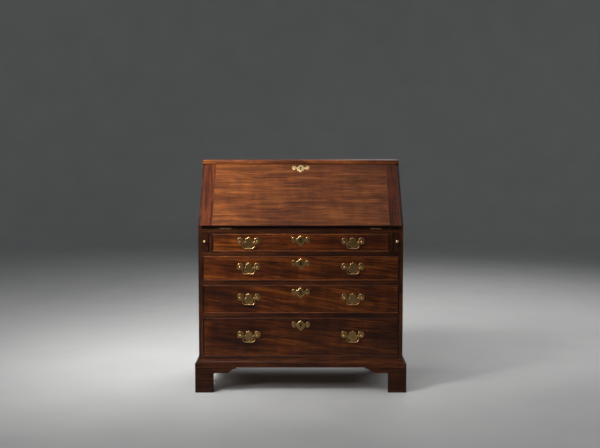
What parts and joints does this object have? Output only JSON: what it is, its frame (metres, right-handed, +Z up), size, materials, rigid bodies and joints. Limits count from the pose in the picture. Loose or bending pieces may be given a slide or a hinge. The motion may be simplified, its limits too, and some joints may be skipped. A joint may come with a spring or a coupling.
{
  "type": "writing bureau",
  "caption": "Slant-front mahogany bureau: hinged sloping fall on pull-out lopers, long cock-beaded drawers with brass bail handles, cove base and bracket feet.",
  "frame": {"origin": "on the floor under the middle of the bureau's overall box", "axes": "+X to the right seen from the front, +Y to the back, +Z up"},
  "size_m": [0.948, 0.517, 1.04],
  "materials": {
    "mahogany": "French-polished figured mahogany",
    "lining_wood": "bare aged oak and pine",
    "brass": "aged lacquered cast brass",
    "lock_steel": "aged iron lock case"
  },
  "bodies": {
    "case": {"side_left": "mahogany", "side_right": "mahogany", "top_board": "mahogany", "back_panel": "lining_wood", "bottom_board": "mahogany", "desk_board": "mahogany", "drawer_divider_upper": "mahogany", "drawer_divider_middle": "mahogany", "drawer_divider_lower": "mahogany", "base_moulding": "mahogany", "foot_front_left": "mahogany", "foot_front_right": "mahogany", "foot_back_left": "mahogany", "foot_back_right": "mahogany", "hinge_left_case_leaf": "brass", "hinge_right_case_leaf": "brass", "pigeonholes": "mahogany"},
    "fall": {"fall_panel": "mahogany", "fall_cleat_left": "mahogany", "fall_cleat_right": "mahogany", "fall_lock": "lock_steel", "fall_escutcheon": "brass", "hinge_left_fall_leaf": "brass", "hinge_right_fall_leaf": "brass"},
    "loper_left_slide": {"loper_left": "mahogany", "loper_knob_left": "brass"},
    "loper_right_slide": {"loper_right": "mahogany", "loper_knob_right": "brass"},
    "drawer_1": {"drawer_1_front": "mahogany", "drawer_1_box": "lining_wood", "drawer_1_escutcheon": "brass", "drawer_1_backplate_left": "brass", "drawer_1_backplate_right": "brass"},
    "drawer_1_bail_left_swing": {"drawer_1_bail_left": "brass"},
    "drawer_1_bail_right_swing": {"drawer_1_bail_right": "brass"},
    "drawer_2": {"drawer_2_front": "mahogany", "drawer_2_box": "lining_wood", "drawer_2_escutcheon": "brass", "drawer_2_backplate_left": "brass", "drawer_2_backplate_right": "brass"},
    "drawer_2_bail_left_swing": {"drawer_2_bail_left": "brass"},
    "drawer_2_bail_right_swing": {"drawer_2_bail_right": "brass"},
    "drawer_3": {"drawer_3_front": "mahogany", "drawer_3_box": "lining_wood", "drawer_3_escutcheon": "brass", "drawer_3_backplate_left": "brass", "drawer_3_backplate_right": "brass"},
    "drawer_3_bail_left_swing": {"drawer_3_bail_left": "brass"},
    "drawer_3_bail_right_swing": {"drawer_3_bail_right": "brass"},
    "drawer_4": {"drawer_4_front": "mahogany", "drawer_4_box": "lining_wood", "drawer_4_escutcheon": "brass", "drawer_4_backplate_left": "brass", "drawer_4_backplate_right": "brass"},
    "drawer_4_bail_left_swing": {"drawer_4_bail_left": "brass"},
    "drawer_4_bail_right_swing": {"drawer_4_bail_right": "brass"},
    "small_drawer_1_tray": {"small_drawer_1": "mahogany"},
    "small_drawer_2_tray": {"small_drawer_2": "mahogany"},
    "small_drawer_3_tray": {"small_drawer_3": "mahogany"},
    "small_drawer_4_tray": {"small_drawer_4": "mahogany"}
  },
  "joints": [
    {"name": "fall_hinge", "type": "hinge", "parent": "case", "child": "fall", "pos_m": [0, -0.2415, 0.738], "axis": [1, 0, 0], "range_deg": [0, 132]},
    {"name": "loper_left_pull", "type": "slide", "parent": "case", "child": "loper_left_slide", "axis": [0, -1, 0], "range_m": [0, 0.29]},
    {"name": "loper_right_pull", "type": "slide", "parent": "case", "child": "loper_right_slide", "axis": [0, -1, 0], "range_m": [0, 0.29]},
    {"name": "drawer_1_slide", "type": "slide", "parent": "case", "child": "drawer_1", "axis": [0, -1, 0], "range_m": [0, 0.38]},
    {"name": "drawer_1_bail_left_hinge", "type": "hinge", "parent": "drawer_1", "child": "drawer_1_bail_left_swing", "pos_m": [-0.23267, -0.2501, 0.67927], "axis": [-1, 0, 0], "range_deg": [0, 90]},
    {"name": "drawer_1_bail_right_hinge", "type": "hinge", "parent": "drawer_1", "child": "drawer_1_bail_right_swing", "pos_m": [0.23267, -0.2501, 0.67927], "axis": [-1, 0, 0], "range_deg": [0, 90]},
    {"name": "drawer_2_slide", "type": "slide", "parent": "case", "child": "drawer_2", "axis": [0, -1, 0], "range_m": [0, 0.38]},
    {"name": "drawer_2_bail_left_hinge", "type": "hinge", "parent": "drawer_2", "child": "drawer_2_bail_left_swing", "pos_m": [-0.23267, -0.2501, 0.5655], "axis": [-1, 0, 0], "range_deg": [0, 90]},
    {"name": "drawer_2_bail_right_hinge", "type": "hinge", "parent": "drawer_2", "child": "drawer_2_bail_right_swing", "pos_m": [0.23267, -0.2501, 0.5655], "axis": [-1, 0, 0], "range_deg": [0, 90]},
    {"name": "drawer_3_slide", "type": "slide", "parent": "case", "child": "drawer_3", "axis": [0, -1, 0], "range_m": [0, 0.38]},
    {"name": "drawer_3_bail_left_hinge", "type": "hinge", "parent": "drawer_3", "child": "drawer_3_bail_left_swing", "pos_m": [-0.23267, -0.2501, 0.4274], "axis": [-1, 0, 0], "range_deg": [0, 90]},
    {"name": "drawer_3_bail_right_hinge", "type": "hinge", "parent": "drawer_3", "child": "drawer_3_bail_right_swing", "pos_m": [0.23267, -0.2501, 0.4274], "axis": [-1, 0, 0], "range_deg": [0, 90]},
    {"name": "drawer_4_slide", "type": "slide", "parent": "case", "child": "drawer_4", "axis": [0, -1, 0], "range_m": [0, 0.38]},
    {"name": "drawer_4_bail_left_hinge", "type": "hinge", "parent": "drawer_4", "child": "drawer_4_bail_left_swing", "pos_m": [-0.23267, -0.2501, 0.2578], "axis": [-1, 0, 0], "range_deg": [0, 90]},
    {"name": "drawer_4_bail_right_hinge", "type": "hinge", "parent": "drawer_4", "child": "drawer_4_bail_right_swing", "pos_m": [0.23267, -0.2501, 0.2578], "axis": [-1, 0, 0], "range_deg": [0, 90]},
    {"name": "small_drawer_1_slide", "type": "slide", "parent": "case", "child": "small_drawer_1_tray", "axis": [0, -1, 0], "range_m": [0, 0.17]},
    {"name": "small_drawer_2_slide", "type": "slide", "parent": "case", "child": "small_drawer_2_tray", "axis": [0, -1, 0], "range_m": [0, 0.17]},
    {"name": "small_drawer_3_slide", "type": "slide", "parent": "case", "child": "small_drawer_3_tray", "axis": [0, -1, 0], "range_m": [0, 0.17]},
    {"name": "small_drawer_4_slide", "type": "slide", "parent": "case", "child": "small_drawer_4_tray", "axis": [0, -1, 0], "range_m": [0, 0.17]}
  ]
}
